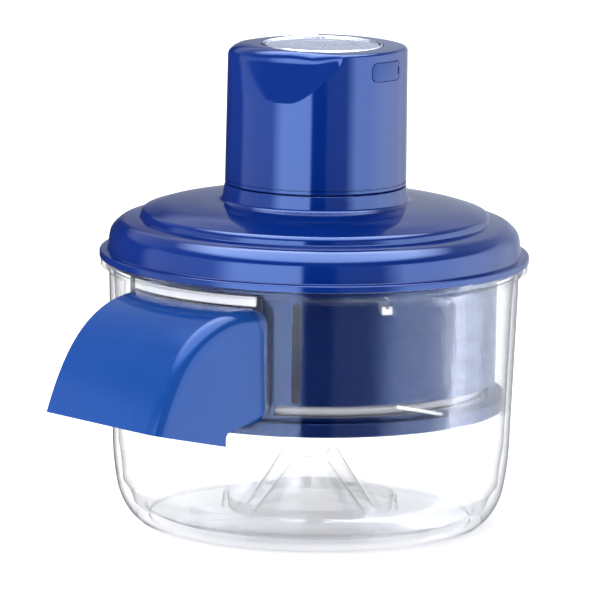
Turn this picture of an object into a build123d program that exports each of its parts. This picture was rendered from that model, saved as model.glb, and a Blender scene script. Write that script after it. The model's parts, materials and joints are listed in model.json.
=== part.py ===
from build123d import *
import math
import os

# Rechargeable garlic peeler: a clear bowl with a side chute, a lift-out peeling drum with a paddle
# rotor, and a lid whose head holds the battery, the motor, its gears and the push button.
# Frame: origin on the turning axis at the table plane, +Z up, chute along -X. Millimetres and degrees.

# ---- driving dimensions ----
wall = 2.2
fit_gap = 0.3

# clear bowl
foot_radius = 66.5
foot_height = 1.8
floor_top = 4.0
bowl_radius = 78.4
lip_radius = 82.0
lip_bottom = 98.6
lip_top = 101.3
cone_top_radius = 9.8
cone_top = 27.5
cone_base_radius = 24.8
cone_ring_radius = 32.8

# side chute, a hood that is open below its outer end
chute_left = 19.4
chute_right = -42.4
chute_top = 93.9
chute_bottom = 49.7
chute_edge_radius = 6.0
chute_left_edge_radius = 2.5
chute_under_radius = 6.0
mouth_front = (-117.6, 52.5)
mouth_back = (-83.7, 44.2)
chute_inner_end = 76.6
strip_middle = -8.4
strip_width = 59.0

# peeling drum and its tray
drum_radius = 70.5
drum_bottom = 50.2
drum_top = 99.4
tray_radius = 74.1
tray_bottom = 45.4
slot_bottom = 52.5
slot_top = 56.4

# rotor
rotor_plate_radius = 66.0
rotor_plate_bottom = 52.2
rotor_plate_top = 55.6
hub_radius = 9.0
hub_top = 92.0
paddle_top = 78.0
paddle_count = 4
pin_radius = 3.0
running_gap = 0.05

# lid
flange_radius = 82.5
flange_bottom = 101.6
flange_top = 104.2
neck_top = 130.4
dome_top = 124.1
skirt_top = 116.7

# head
head_bottom = 130.9
head_top = 184.2
head_bottom_radius = 34.8
head_top_radius = 34.3
scoop_angle = 205.6
scoop_low = 166.5
scoop_slope = 0.54
button_shift = (1.16, -1.1)
port_angle = -82.4
port_height = 176.8
flap_width = 16.5
flap_height = 7.0

# drive train
gear_module = 0.8
pinion_teeth = 12
output_teeth = 36
gear_backlash = 0.06
motor_radius = 12.2
motor_x = gear_module * (pinion_teeth + output_teeth) / 2
shaft_radius = 3.0

# features placed by their angle about the turning axis
slit_angle = -138.4
latch_angle = -110.6
latch_height = 92.6
latch_width = 4.1
ramp_start_angle = -107.2
ramp_end_angle = -90.4
mark_angle = -80.2

os.makedirs("parts", exist_ok=True)


# ---- helpers ----
def turn(*points, mode=Mode.ADD):
    """Revolves a closed outline of (radius, height) points about the turning axis."""
    with BuildSketch(Plane.XZ) as outline:
        with BuildLine():
            Polyline(*points, close=True)
        make_face()
    revolve(outline.sketch, axis=Axis.Z, mode=mode)


def post(radius, bottom, top, at=(0, 0), mode=Mode.ADD):
    """A round post, or a round hole with Mode.SUBTRACT, between two heights."""
    with BuildSketch(Plane.XY.offset(bottom)) as section:
        with Locations(at):
            Circle(radius)
    extrude(section.sketch, amount=top - bottom, mode=mode)


def block(low, high, mode=Mode.ADD):
    """A box between its lowest and highest corners."""
    centre = Vector(*[(a + b) / 2 for a, b in zip(low, high)])
    size = [b - a for a, b in zip(low, high)]
    with Locations(centre):
        Box(*size, mode=mode)


def polar(radius, angle):
    """The x and y of a point given by its radius and angle in degrees."""
    return (radius * math.cos(math.radians(angle)), radius * math.sin(math.radians(angle)))


def radial_plane(radius, angle, height):
    """A plane on the outside of a round wall: its x runs round the wall, its y up, its z outwards."""
    x, y = polar(radius, angle)
    outwards = (*polar(1, angle), 0)
    around = (*polar(1, angle + 90), 0)
    return Plane(origin=(x, y, height), x_dir=around, z_dir=outwards)


def save(builder, name):
    builder.part.label = name
    export_step(builder.part, f"parts/{name}.step")


def pan_screws(places, head_bottom_z, head_height, head_radius, shank_radius, shank_top):
    """Pan-head screws driven upwards, head below, each with a cross recess."""
    for place in places:
        post(head_radius, head_bottom_z, head_bottom_z + head_height, place)
        post(shank_radius, head_bottom_z + head_height, shank_top, place)
        with BuildSketch(Plane.XY.offset(head_bottom_z)) as cross:
            with Locations(place):
                Rectangle(head_radius * 1.1, 0.6)
                Rectangle(0.6, head_radius * 1.1)
        extrude(cross.sketch, amount=head_height * 0.6, mode=Mode.SUBTRACT)


# ---- clear bowl ----
inner_radius = bowl_radius - wall
with BuildPart() as clear_bowl:
    with BuildSketch(Plane.XZ):
        with BuildLine():
            Polyline((foot_radius - 4.5, 0), (foot_radius, 0), (foot_radius + 0.4, 0.6))
            Spline(
                (foot_radius + 0.4, 0.6),
                (70.9, 4.9),
                (74.7, 14.4),
                (76.5, 30.0),
                tangents=((1.0, 0.75), (0.035, 1.0)),
            )
            Line((76.5, 30.0), (bowl_radius, 85.0))
            Polyline(
                (bowl_radius, 85.0),
                (bowl_radius + 0.4, 96.0),
                (bowl_radius + 1.0, 97.6),
                (lip_radius - 1.4, 98.2),
                (lip_radius - 0.6, lip_bottom),
                (lip_radius, lip_bottom + 0.5),
                (lip_radius, lip_top - 0.4),
                (lip_radius - 0.4, lip_top),
                (lip_radius - 2.2, lip_top),
                (lip_radius - 2.2, lip_bottom + 0.5),
                (bowl_radius - 0.9, 97.4),
                (bowl_radius - 1.7, 94.0),
                (inner_radius, 85.0),
            )
            Line((inner_radius, 85.0), (74.3, 30.0))
            Spline(
                (74.3, 30.0),
                (72.4, 14.8),
                (68.2, 6.6),
                (62.0, floor_top),
                tangents=((-0.035, -1.0), (-1.0, -0.1)),
            )
            Polyline(
                (62.0, floor_top),
                (cone_ring_radius + 1.2, floor_top),
                (cone_ring_radius + 0.8, 9.0),
                (cone_ring_radius - 0.8, 9.0),
                (cone_ring_radius - 1.2, floor_top),
                (cone_base_radius, floor_top),
                (cone_top_radius + 0.8, cone_top - 0.9),
                (cone_top_radius - 0.4, cone_top),
                (cone_top_radius - 2.4, cone_top),
                (cone_top_radius - 3.0, cone_top - 2.5),
                (0, cone_top - 2.5),
                (0, cone_top - 2.5 - wall),
                (cone_top_radius - 3.4, cone_top - 2.5 - wall),
                (cone_base_radius - 3.2, foot_height),
                (foot_radius - 4.5, foot_height),
                (foot_radius - 4.5, 0),
            )
        make_face()
    revolve(axis=Axis.Z)
    # thicker panel round the upper half of the chute window, with rounded lower corners
    with BuildSketch(Plane.YZ.offset(-86)) as panel:
        with Locations((-10.5, 93.0)):
            RectangleRounded(70.0, 11.6, 4.5)
    extrude(panel.sketch, amount=56)
    turn((0, 80), (inner_radius - 0.3, 80), (bowl_radius - 1.8, 97.0), (bowl_radius - 1.8, 99), (0, 99), mode=Mode.SUBTRACT)
    turn((bowl_radius + 1.4, 80), (110, 80), (110, 99), (bowl_radius + 1.4, 99), mode=Mode.SUBTRACT)
    # chute window
    with BuildSketch(Plane.YZ.offset(-90)) as window:
        with Locations(((chute_left + chute_right) / 2, (chute_top + chute_bottom) / 2)):
            Rectangle(chute_left - chute_right + 2 * fit_gap, chute_top - chute_bottom + 2 * fit_gap)
        corners = window.vertices().sort_by(Axis.Y)
        fillet(corners[:2], chute_under_radius)
        upper_right = window.vertices().sort_by_distance((chute_right, chute_top, 0))[0]
        fillet(upper_right, chute_edge_radius)
        upper_left = window.vertices().sort_by_distance((chute_left, chute_top, 0))[0]
        fillet(upper_left, chute_left_edge_radius)
    extrude(window.sketch, amount=50, mode=Mode.SUBTRACT)
save(clear_bowl, "clear_bowl")

# white strip behind the panel, between the chute window and the lip
with BuildPart() as window_strip:
    turn(
        (inner_radius - 0.8, 94.6),
        (inner_radius - 0.05, 94.6),
        (inner_radius - 0.05, 98.2),
        (inner_radius - 0.8, 98.2),
    )
    with BuildSketch(Plane.YZ.offset(-90)) as strip_length:
        with Locations((strip_middle, 96)):
            Rectangle(strip_width, 12)
    extrude(strip_length.sketch, amount=50, mode=Mode.INTERSECT)
save(window_strip, "window_strip")


# ---- chute hood ----
def hood_form(inset):
    """The hood's solid form, moved inwards by inset; the space inside runs out through the mouth."""
    top = chute_top - inset
    bottom = chute_bottom + inset
    front_x = mouth_front[0] + inset
    back_x = mouth_back[0] - inset
    below = mouth_back[1] - 5
    with BuildSketch(Plane.XZ.offset(inset - chute_left)) as outline:
        with BuildLine():
            Line((-55, top), (-74, top))
            Spline(
                (-74, top),
                (-99.8 + inset * 0.72, 84.1 - inset * 0.7),
                (front_x, mouth_front[1]),
                tangents=((-1.0, -0.04), (-0.22, -1.0)),
            )
            if inset == 0:
                Polyline((front_x, mouth_front[1]), mouth_back, (back_x, bottom))
            else:
                Polyline((front_x, mouth_front[1]), (front_x, below), (back_x, below), (back_x, bottom))
            Polyline((back_x, bottom), (-55, bottom), (-55, top))
        make_face()
    extrude(outline.sketch, amount=chute_left - chute_right - 2 * inset)


def long_edges(part, heights):
    """The hood's edges that run along its two sides, above a height or along the neck's underside."""
    chosen = []
    for edge in part.edges():
        middle = edge @ 0.5
        start = edge @ 0
        end = edge @ 1
        on_side = abs(start.Y - end.Y) < 0.01 and abs(start.Y - middle.Y) < 0.01
        if on_side and heights(middle):
            chosen.append(edge)
    return chosen


with BuildPart() as hood_space:
    hood_form(wall)
    fillet(long_edges(hood_space, lambda p: p.Z > 60 and p.Y < 0), chute_edge_radius - wall)
    fillet(long_edges(hood_space, lambda p: p.X > -78 and p.Z < 53), chute_under_radius - wall)

with BuildPart() as chute_hood:
    hood_form(0)
    fillet(long_edges(chute_hood, lambda p: p.Z > 60 and p.Y < 0), chute_edge_radius)
    fillet(long_edges(chute_hood, lambda p: p.Z > 60 and p.Y > 0), chute_left_edge_radius)
    fillet(long_edges(chute_hood, lambda p: p.X > -78 and p.Z < 51), chute_under_radius)
    add(hood_space.part, mode=Mode.SUBTRACT)
    turn((0, 30), (chute_inner_end, 30), (chute_inner_end, 110), (0, 110), mode=Mode.SUBTRACT)
save(chute_hood, "chute_hood")

# ---- peeling drum ----
drum_inner = drum_radius - wall
with BuildPart() as peel_drum:
    turn(
        (drum_inner, drum_bottom),
        (drum_radius, drum_bottom),
        (drum_radius, drum_top - 0.8),
        (drum_radius + 0.8, drum_top),
        (79.0, drum_top),
        (79.4, drum_top + 0.4),
        (79.4, drum_top + 1.5),
        (drum_inner, drum_top + 1.5),
    )
    # opening towards the chute
    block((-80, -35.5, rotor_plate_bottom - 1), (-40, 15.0, drum_top), mode=Mode.SUBTRACT)
    # outlet slots low in the wall
    for start, end in ((-145, -60.4), (-40, 50), (70, 150)):
        with BuildPart(mode=Mode.PRIVATE) as slot_ring:
            turn(
                (drum_inner - 1, slot_bottom),
                (drum_radius + 1, slot_bottom),
                (drum_radius + 1, slot_top),
                (drum_inner - 1, slot_top),
            )
            with BuildSketch(Plane.XY.offset(slot_bottom)) as keep:
                with BuildLine():
                    rim = [polar(90, start + (end - start) * i / 6) for i in range(7)]
                    Polyline((0, 0), *rim, close=True)
                make_face()
            extrude(keep.sketch, amount=slot_top - slot_bottom, mode=Mode.INTERSECT)
        add(slot_ring.part, mode=Mode.SUBTRACT)
    # narrow upright slit
    with BuildSketch(radial_plane(drum_radius + 2, slit_angle, (slot_top + 96) / 2)) as slit:
        SlotOverall(96 - slot_top - 2, 3.4, rotation=90)
    extrude(slit.sketch, amount=-6, mode=Mode.SUBTRACT)
    # seat of the latch clip
    with BuildSketch(radial_plane(drum_radius + 2, latch_angle, latch_height)) as latch_seat:
        Rectangle(latch_width + 0.2, 3.2)
    extrude(latch_seat.sketch, amount=-6, mode=Mode.SUBTRACT)
save(peel_drum, "peel_drum")

with BuildPart() as drum_latch:
    with BuildSketch(radial_plane(drum_radius + 0.5, latch_angle, latch_height)) as latch_block:
        Rectangle(latch_width, 3.0)
        with Locations((0, 1.2)):
            Rectangle(1.4, 1.2, mode=Mode.SUBTRACT)
    extrude(latch_block.sketch, amount=-2.9)
save(drum_latch, "drum_latch")

with BuildPart() as drum_tray:
    turn(
        (pin_radius, tray_bottom + 1.8),
        (tray_radius - wall, tray_bottom + 1.8),
        (tray_radius - wall, tray_bottom),
        (tray_radius - 0.3, tray_bottom),
        (tray_radius, tray_bottom + 0.4),
        (tray_radius, drum_bottom + 0.1),
        (tray_radius - 0.4, drum_bottom + 0.5),
        (tray_radius - wall, drum_bottom + 0.5),
        (tray_radius - wall - 0.5, drum_bottom),
        (7.5, drum_bottom),
        (6.5, rotor_plate_bottom - 0.4),
        (pin_radius, rotor_plate_bottom - 0.4),
    )
save(drum_tray, "drum_tray")

# bayonet ramps that pull the drum down on its tray
ramp_length = math.radians(ramp_end_angle - ramp_start_angle) * (drum_radius + 1.5)
with BuildPart() as bayonet_ramps:
    for turn_angle in (0, 120):
        middle = (ramp_start_angle + ramp_end_angle) / 2 + turn_angle
        ramp_plane = radial_plane(drum_radius + 0.9, middle, (slot_top + drum_bottom + 0.6) / 2)
        rise = slot_top - drum_bottom - 1.4
        with BuildSketch(ramp_plane) as ramp:
            Rectangle(ramp_length, 1.1, rotation=-math.degrees(math.atan2(rise, ramp_length)))
        extrude(ramp.sketch, amount=-0.9)
    turn(
        (0, slot_bottom - 3),
        (drum_radius, slot_bottom - 3),
        (drum_radius, slot_top + 3),
        (0, slot_top + 3),
        mode=Mode.SUBTRACT,
    )
save(bayonet_ramps, "bayonet_ramps")

with BuildPart() as tray_pin:
    turn(
        (0, tray_bottom + 0.6),
        (5.0, tray_bottom + 0.6),
        (5.0, tray_bottom + 1.8),
        (pin_radius, tray_bottom + 1.8),
        (pin_radius, 75.0),
        (pin_radius - 0.8, 76.0),
        (0, 76.0),
    )
save(tray_pin, "tray_pin")

# ---- rotor ----
socket_flats = 10.6
dog_flats = 10.0
bush_radius = 5.0
with BuildPart() as rotor_plate:
    turn(
        (bush_radius, rotor_plate_bottom),
        (rotor_plate_radius - 0.6, rotor_plate_bottom),
        (rotor_plate_radius, rotor_plate_bottom + 0.6),
        (rotor_plate_radius, rotor_plate_top - 0.8),
        (rotor_plate_radius - 0.8, rotor_plate_top),
        (hub_radius + 2.5, rotor_plate_top),
        (hub_radius, rotor_plate_top + 3.0),
        (hub_radius, hub_top - 0.8),
        (hub_radius - 0.8, hub_top),
        (6.9, hub_top),
        (6.9, hub_top - 13.0),
        (bush_radius, hub_top - 13.0),
    )
save(rotor_plate, "rotor_plate")

with BuildPart() as silicone_paddles:
    for i in range(paddle_count):
        angle = 45 + i * 360 / paddle_count
        root = polar(hub_radius + 3.5, angle)
        elbow = polar(36, angle + 7)
        tip = polar(61, angle)
        with BuildSketch(Plane.XY.offset(rotor_plate_top)) as blade:
            with BuildLine():
                ThreePointArc(root, elbow, tip)
            trace(line_width=3.2)
        extrude(blade.sketch, amount=paddle_top - rotor_plate_top, dir=(0, 0, 1))
save(silicone_paddles, "silicone_paddles")

with BuildPart() as rotor_bush:
    turn(
        (pin_radius + running_gap, rotor_plate_bottom),
        (bush_radius, rotor_plate_bottom),
        (bush_radius, 76.5),
        (pin_radius + running_gap, 76.5),
    )
save(rotor_bush, "rotor_bush")

with BuildPart() as drive_socket:
    post(6.9, hub_top - 12.9, hub_top - 0.6)
    with BuildSketch(Plane.XY.offset(hub_top - 12.4)) as hexagon:
        RegularPolygon(socket_flats / 2, 6, major_radius=False)
    extrude(hexagon.sketch, amount=13, mode=Mode.SUBTRACT)
save(drive_socket, "drive_socket")

# ---- lid shell ----
head_inner = head_bottom_radius - wall
screw_circle = 55.0
plate_screw_places = [polar(screw_circle, 45 + 90 * i) for i in range(4)]
head_screw_places = [polar(27.5, 90 + 90 * i) for i in range(3)]
gearbox_centre = (4.8, 0)
with BuildPart() as lid_shell:
    with BuildSketch(Plane.XZ):
        with BuildLine():
            Polyline(
                (24.5, 123.2),
                (24.5, 125.8),
                (30.2, 125.8),
                (30.2, 135.0),
                (head_inner - 0.1, 135.0),
                (head_inner - 0.1, neck_top),
                (head_bottom_radius, neck_top),
                (35.2, 129.9),
                (35.9, 126.8),
            )
            Spline((35.9, 126.8), (36.6, 124.9), (38.6, dome_top), tangents=((0.15, -1.0), (1.0, -0.05)))
            Spline((38.6, dome_top), (54.0, 122.8), (63.6, 120.5), tangents=((1.0, -0.03), (1.0, -0.4)))
            Spline((63.6, 120.5), (66.0, 119.4), (67.1, 117.6), tangents=((1.0, -0.4), (0.05, -1.0)))
            Polyline((67.1, 117.6), (67.1, 117.0), (67.5, skirt_top))
            Spline(
                (67.5, skirt_top),
                (73.6, 115.8),
                (77.5, 112.5),
                (79.0, 108.0),
                (79.6, flange_top + 0.4),
                tangents=((1.0, -0.02), (0.03, -1.0)),
            )
            Polyline(
                (79.6, flange_top + 0.4),
                (79.9, flange_top),
                (flange_radius - 0.5, flange_top),
                (flange_radius, flange_top - 0.5),
                (flange_radius, flange_bottom + 0.3),
                (flange_radius - 0.3, flange_bottom),
                (79.9, flange_bottom),
                (79.9, 102.4),
                (70.5, 102.4),
                (70.5, 104.4),
                (77.3, 104.4),
                (76.8, 108.0),
                (75.4, 111.3),
                (72.6, 113.7),
                (67.0, 114.6),
                (65.0, 115.4),
                (64.4, 117.6),
                (62.6, 118.4),
                (54.0, 120.8),
                (38.6, 122.1),
                (31.0, 123.2),
                (24.5, 123.2),
            )
        make_face()
    revolve(axis=Axis.Z)
    for place in plate_screw_places:
        post(3.6, 104.4, 121.4, place)
        post(1.5, 100, 117, place, mode=Mode.SUBTRACT)
    post(23.3, 120, 130, gearbox_centre, mode=Mode.SUBTRACT)
    post(motor_radius + 0.3, 127, 136, (motor_x, 0), mode=Mode.SUBTRACT)
    for place in head_screw_places:
        post(1.6, 122, 127, place, mode=Mode.SUBTRACT)
    # assembly marks on the skirt: a small pip and a notch in the flange edge
    with BuildSketch(radial_plane(79.2, mark_angle, flange_top + 1.0)) as pip:
        Rectangle(2.2, 1.4)
    extrude(pip.sketch, amount=1.6)
    with BuildSketch(radial_plane(flange_radius + 1, mark_angle - 3.0, flange_top)) as notch:
        Rectangle(1.8, 1.0)
    extrude(notch.sketch, amount=-2.2, mode=Mode.SUBTRACT)
save(lid_shell, "lid_shell")

# ---- lid underside ----
seal_radius = 7.0
with BuildPart() as lid_inner_plate:
    turn(
        (seal_radius, 102.4),
        (65.8, 102.4),
        (65.8, 98.4),
        (67.6, 98.4),
        (67.6, 102.4),
        (70.2, 102.4),
        (70.2, 104.4),
        (seal_radius, 104.4),
    )
    for place in plate_screw_places:
        post(1.6, 102, 105, place, mode=Mode.SUBTRACT)
save(lid_inner_plate, "lid_inner_plate")

with BuildPart() as lid_gasket:
    turn((70.6, 101.2), (79.0, 101.2), (79.5, 101.8), (79.5, 102.4), (70.6, 102.4))
save(lid_gasket, "lid_gasket")

with BuildPart() as shaft_seal:
    turn(
        (shaft_radius + running_gap, 103.0),
        (seal_radius + 1.6, 101.2),
        (seal_radius + 1.6, 102.4),
        (seal_radius, 102.4),
        (seal_radius, 104.4),
        (seal_radius + 1.6, 104.4),
        (seal_radius + 1.6, 105.6),
        (shaft_radius + running_gap, 105.0),
    )
save(shaft_seal, "shaft_seal")

with BuildPart() as plate_screws:
    pan_screws(plate_screw_places, 100.8, 1.6, 2.8, 1.5, 116.0)
save(plate_screws, "plate_screws")

# ---- gearbox ----
case_bottom = 112.0
case_top = 126.0
bush_outer = 5.0
with BuildPart() as gear_housing:
    post(22.8, case_bottom, case_top, gearbox_centre)
    post(20.8, case_bottom + 2, case_top, gearbox_centre, mode=Mode.SUBTRACT)
    post(8.0, 108.5, case_bottom + 2)
    post(bush_outer, 108, 116, mode=Mode.SUBTRACT)
save(gear_housing, "gear_housing")

with BuildPart() as lower_bush:
    turn(
        (shaft_radius + running_gap, 108.5),
        (bush_outer, 108.5),
        (bush_outer, 114.5),
        (shaft_radius + running_gap, 114.5),
    )
save(lower_bush, "lower_bush")

motor_screw_places = [(motor_x, 8.0), (motor_x, -8.0)]
with BuildPart() as motor_plate:
    post(29.8, case_top, 128.0)
    post(7.0, 123.5, case_top)
    post(bush_outer, 123, 129, mode=Mode.SUBTRACT)
    post(3.6, 125, 129, (motor_x, 0), mode=Mode.SUBTRACT)
    for place in motor_screw_places:
        post(1.3, 125, 129, place, mode=Mode.SUBTRACT)
    for place in head_screw_places:
        post(1.6, 125, 129, place, mode=Mode.SUBTRACT)
save(motor_plate, "motor_plate")

with BuildPart() as upper_bush:
    turn(
        (shaft_radius + running_gap, 123.5),
        (bush_outer, 123.5),
        (bush_outer, 127.6),
        (shaft_radius + running_gap, 127.6),
    )
save(upper_bush, "upper_bush")


def gear_points(teeth, phase):
    """The outline of an involute spur gear with shortened tips, as (x, y) points about its centre."""
    pitch = gear_module * teeth / 2
    base = pitch * math.cos(math.radians(20))
    tip = pitch + 0.72 * gear_module
    root = pitch - 1.1 * gear_module

    def involute(angle):
        return math.tan(angle) - angle

    half_at_pitch = math.pi / (2 * teeth) - gear_backlash / pitch
    half_at_base = half_at_pitch + involute(math.radians(20))
    flank = [(root, half_at_base)]
    lowest = max(base, root)
    for i in range(5):
        radius = lowest + (tip - lowest) * i / 4
        pressure = math.acos(min(1.0, base / radius))
        flank.append((radius, half_at_base - involute(pressure)))
    points = []
    for tooth in range(teeth):
        centre = phase + 2 * math.pi * tooth / teeth
        rising = [(radius, centre - half) for radius, half in flank]
        falling = [(radius, centre + half) for radius, half in reversed(flank)]
        for radius, angle in rising + falling:
            points.append((radius * math.cos(angle), radius * math.sin(angle)))
    return points


def gear(teeth, phase, bottom, top, at, bore):
    with BuildSketch(Plane.XY.offset(bottom)) as outline:
        with BuildLine():
            Polyline(*[(x + at[0], y + at[1]) for x, y in gear_points(teeth, phase)], close=True)
        make_face()
        with Locations(at):
            Circle(bore, mode=Mode.SUBTRACT)
    extrude(outline.sketch, amount=top - bottom)


with BuildPart() as output_gear:
    gear(output_teeth, 0, 116.2, 122.0, (0, 0), shaft_radius)
    with BuildSketch(Plane.XY.offset(116.2)) as web_holes:
        with PolarLocations(9.0, 6):
            Circle(2.4)
    extrude(web_holes.sketch, amount=6, mode=Mode.SUBTRACT)
save(output_gear, "output_gear")

with BuildPart() as output_shaft:
    turn((0, 96.0), (shaft_radius, 96.0), (shaft_radius, 127.0), (shaft_radius - 0.5, 127.5), (0, 127.5))
save(output_shaft, "output_shaft")

with BuildPart() as drive_dog:
    with BuildSketch(Plane.XY.offset(81.5)) as dog_hex:
        RegularPolygon(dog_flats / 2, 6, major_radius=False)
    extrude(dog_hex.sketch, amount=12.5)
    post(8.0, 93.2, 96.0)
    post(5.2, 96.0, 100.5)
    post(shaft_radius, 96.0, 101, mode=Mode.SUBTRACT)
save(drive_dog, "drive_dog")

motor_shaft_radius = 1.0
with BuildPart() as pinion:
    gear(pinion_teeth, math.pi / pinion_teeth, 115.6, 122.6, (motor_x, 0), motor_shaft_radius)
save(pinion, "pinion")

# ---- motor ----
with BuildPart() as motor_can:
    post(motor_radius, 128.0, 159.0, (motor_x, 0))
    post(motor_radius - 1.0, 129.2, 159.0, (motor_x, 0), mode=Mode.SUBTRACT)
    post(motor_shaft_radius + running_gap, 127, 130, (motor_x, 0), mode=Mode.SUBTRACT)
    post(3.4, 126.6, 128.0, (motor_x, 0))
    post(motor_shaft_radius + running_gap, 126, 130, (motor_x, 0), mode=Mode.SUBTRACT)
    for place in motor_screw_places:
        post(1.2, 127, 130, place, mode=Mode.SUBTRACT)
save(motor_can, "motor_can")

with BuildPart() as motor_screws:
    pan_screws(motor_screw_places, 124.6, 1.4, 2.2, 1.2, 129.0)
save(motor_screws, "motor_screws")

with BuildPart() as motor_magnets:
    post(motor_radius - 1.0, 132.0, 155.0, (motor_x, 0))
    post(8.6, 131, 156, (motor_x, 0), mode=Mode.SUBTRACT)
    block((motor_x - 20, -2.5, 131), (motor_x + 20, 2.5, 156), mode=Mode.SUBTRACT)
save(motor_magnets, "motor_magnets")

with BuildPart() as armature:
    post(motor_shaft_radius, 114.8, 161.0, (motor_x, 0))
    post(8.0, 135.0, 153.0, (motor_x, 0))
    with BuildSketch(Plane.XY.offset(134)) as slots:
        with Locations((motor_x, 0)):
            with PolarLocations(6.2, 5):
                Rectangle(4.2, 1.2)
    extrude(slots.sketch, amount=20, mode=Mode.SUBTRACT)
save(armature, "armature")

with BuildPart() as motor_end_cap:
    post(motor_radius, 159.0, 162.5, (motor_x, 0))
    post(motor_shaft_radius + running_gap, 158, 161.2, (motor_x, 0), mode=Mode.SUBTRACT)
    for side in (-1, 1):
        block((motor_x - 0.4, side * 8 - 1.2, 162.5), (motor_x + 0.4, side * 8 + 1.2, 166.0))
save(motor_end_cap, "motor_end_cap")

# ---- battery ----
cell_radius = 8.25
cell_places = [(-17.2, 12.0), (-17.2, -12.0)]
cell_bottom = 131.6
with BuildPart() as battery_cells:
    for place in cell_places:
        post(cell_radius, cell_bottom, cell_bottom + 33.0, place)
        post(2.8, cell_bottom + 33.0, cell_bottom + 34.2, place)
save(battery_cells, "battery_cells")

with BuildPart() as battery_holder:
    for place in cell_places:
        post(cell_radius + 0.9, 128.0, 140.0, place)
    block((-23.0, -8.0, 128.0), (-9.0, 8.0, 130.4))
    for place in cell_places:
        post(cell_radius + 0.15, cell_bottom, 141.0, place, mode=Mode.SUBTRACT)
    # room for the head's rear screw boss, between the cells
    post(4.0, 127.0, 142.0, (-27.5, 0), mode=Mode.SUBTRACT)
save(battery_holder, "battery_holder")

# ---- control board ----
board_bottom = 169.0
board_top = 170.6
switch_place = button_shift
with BuildPart() as control_board:
    post(27.0, board_bottom, board_top)
    for place in head_screw_places:
        post(3.6, 168, 172, place, mode=Mode.SUBTRACT)
    block((-18, 6, board_top), (-12, 12, board_top + 1.2))
    block((-20, -10, board_top), (-15, -6, board_top + 1.0))
    block((10, 4, board_top), (14, 12, board_top + 1.6))
save(control_board, "control_board")

with BuildPart() as micro_switch:
    x, y = switch_place
    block((x - 3, y - 3, board_top), (x + 3, y + 3, board_top + 3.2))
    post(1.7, board_top + 3.2, board_top + 4.2, switch_place)
save(micro_switch, "micro_switch")

# charging port on a small board of its own, close under the button's rim
port_shell_radius = 30.6
port_depth = 7.4
port_shell_height = 3.3
charge_board_top = port_height - port_shell_height / 2
charge_board_bottom = charge_board_top - 1.5
port_plane = radial_plane(port_shell_radius, port_angle, port_height)
with BuildPart() as usb_port:
    with BuildSketch(port_plane) as port_outer:
        SlotOverall(8.9, port_shell_height)
    extrude(port_outer.sketch, amount=-port_depth)
    with BuildSketch(port_plane) as port_inner:
        SlotOverall(8.3, port_shell_height - 0.6)
    extrude(port_inner.sketch, amount=0.8 - port_depth, mode=Mode.SUBTRACT)
    with BuildSketch(port_plane) as port_tongue:
        Rectangle(6.6, 0.7)
    extrude(port_tongue.sketch, amount=0.6 - port_depth)
    extrude(port_tongue.sketch, amount=-0.9, mode=Mode.SUBTRACT)
save(usb_port, "usb_port")

with BuildPart() as charge_board:
    board_centre = radial_plane(port_shell_radius - 5.2, port_angle, charge_board_bottom)
    flat_plane = Plane(origin=board_centre.origin, x_dir=board_centre.x_dir, z_dir=(0, 0, 1))
    with BuildSketch(flat_plane) as board_outline:
        Rectangle(13.0, 9.0)
    extrude(board_outline.sketch, amount=charge_board_top - charge_board_bottom)
    # pins down to the control board
    with BuildSketch(flat_plane) as pins:
        with GridLocations(10.4, 5.0, 2, 2):
            Rectangle(0.8, 0.8)
    extrude(pins.sketch, amount=board_top - charge_board_bottom)
save(charge_board, "charge_board")

# ---- head shell ----
flap_plane = radial_plane(head_bottom_radius - 0.1, port_angle, port_height)
cover_outer_radius = head_bottom_radius - 0.35
cover_inner_radius = cover_outer_radius - 1.0


def head_form(inset, bottom, top):
    """The head's body, slightly tapered, with the sloping finger scoop cut from its side."""
    slope_angle = math.degrees(math.atan(scoop_slope))
    turn(
        (0, bottom),
        (head_bottom_radius - inset, bottom),
        (head_top_radius - inset, top),
        (0, top),
    )
    low_radius = head_bottom_radius - inset / math.cos(math.radians(slope_angle))
    scoop_face = radial_plane(low_radius, scoop_angle, scoop_low).rotated((-slope_angle, 0, 0))
    with BuildSketch(scoop_face) as face:
        Rectangle(120, 120)
    extrude(face.sketch, amount=60, mode=Mode.SUBTRACT)


with BuildPart() as head_space:
    head_form(wall, head_bottom - 1, head_top - wall)

with BuildPart() as cover_recess:
    with BuildSketch(flap_plane.offset(2)) as recess_outline:
        RectangleRounded(flap_width + 0.6, flap_height + 0.6, 2.2)
    extrude(recess_outline.sketch, amount=-6)
    post(cover_inner_radius - 0.2, port_height - flap_height, port_height + flap_height, mode=Mode.SUBTRACT)

with BuildPart() as head_shell:
    head_form(0, head_bottom, head_top)
    fillet(head_shell.faces().sort_by(Axis.Z)[-1].edges(), 1.4)
    add(head_space.part, mode=Mode.SUBTRACT)
    # fine groove just above the joint line
    groove_floor = head_bottom_radius - 0.35
    turn((groove_floor, 132.2), (40, 132.2), (40, 132.6), (groove_floor, 132.6), mode=Mode.SUBTRACT)
    post(24.0, 180, 186, button_shift, mode=Mode.SUBTRACT)
    # screw bosses joined to the wall
    for place, angle in zip(head_screw_places, (90, 180, 270)):
        post(3.2, 135.6, 148, place)
        with BuildSketch(radial_plane(33.2, angle, 141.8)) as web:
            Rectangle(2.0, 12.4)
        extrude(web.sketch, amount=-5)
        post(1.4, 130, 146, place, mode=Mode.SUBTRACT)
    # charging opening and the cover's recess
    add(cover_recess.part, mode=Mode.SUBTRACT)
    with BuildSketch(flap_plane) as port_opening:
        Rectangle(9.8, 4.2)
    extrude(port_opening.sketch, amount=-4, mode=Mode.SUBTRACT)
save(head_shell, "head_shell")

with BuildPart() as head_screws:
    pan_screws(head_screw_places, 121.4, 1.8, 2.6, 1.4, 144.0)
save(head_screws, "head_screws")

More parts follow.
